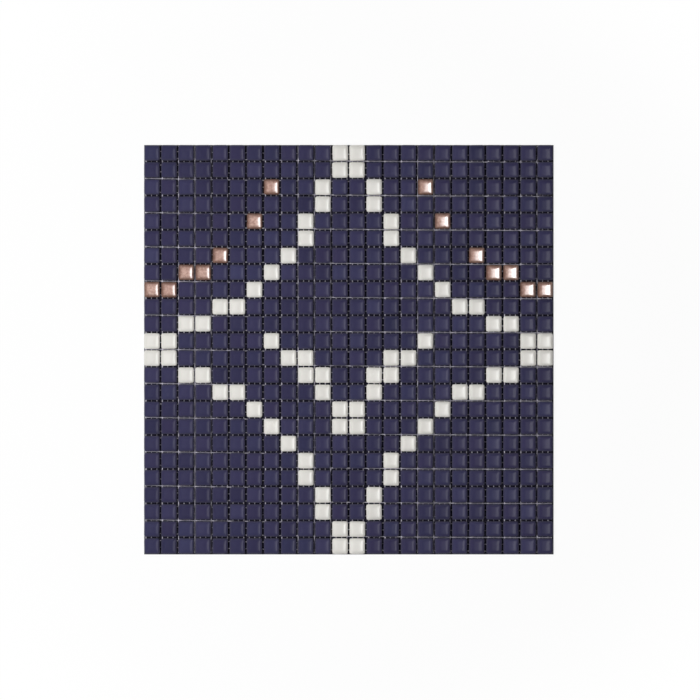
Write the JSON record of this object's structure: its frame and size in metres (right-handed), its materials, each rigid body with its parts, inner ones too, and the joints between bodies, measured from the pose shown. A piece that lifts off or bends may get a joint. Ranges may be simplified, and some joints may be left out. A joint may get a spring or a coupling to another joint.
{
  "type": "ceramic mosaic tile",
  "caption": "Mesh-mounted sheet of small square glazed ceramic tesserae with cushion-edged faces, laid as a white lozenge and chevron with copper arcs on a navy ground.",
  "frame": {"origin": "under the middle of the sheet, on the plane that the backing mesh lies on", "axes": "+Z is the way the glazed faces look, +Y is the top of the pattern, where the two copper arcs are, and +X is to the right of a person who looks at the faces"},
  "size_m": [0.299, 0.299, 0.0055],
  "materials": {
    "navy_glaze": "satin",
    "white_glaze": "satin",
    "copper_glaze": "gloss",
    "mesh_thread": "matte"
  },
  "bodies": {
    "root": {"navy_row_01": "navy_glaze", "navy_row_02": "navy_glaze", "navy_row_03": "navy_glaze", "navy_row_04": "navy_glaze", "navy_row_05": "navy_glaze", "navy_row_06": "navy_glaze", "navy_row_07": "navy_glaze", "navy_row_08": "navy_glaze", "navy_row_09": "navy_glaze", "navy_row_10": "navy_glaze", "navy_row_11": "navy_glaze", "navy_row_12": "navy_glaze", "navy_row_13": "navy_glaze", "navy_row_14": "navy_glaze", "navy_row_15": "navy_glaze", "navy_row_16": "navy_glaze", "navy_row_17": "navy_glaze", "navy_row_18": "navy_glaze", "navy_row_19": "navy_glaze", "navy_row_20": "navy_glaze", "navy_row_21": "navy_glaze", "navy_row_22": "navy_glaze", "navy_row_23": "navy_glaze", "navy_row_24": "navy_glaze", "white_lozenge": "white_glaze", "white_chevron": "white_glaze", "copper_arc_left": "copper_glaze", "copper_arc_right": "copper_glaze", "mesh_warp": "mesh_thread", "mesh_weft": "mesh_thread"}
  },
  "joints": []
}
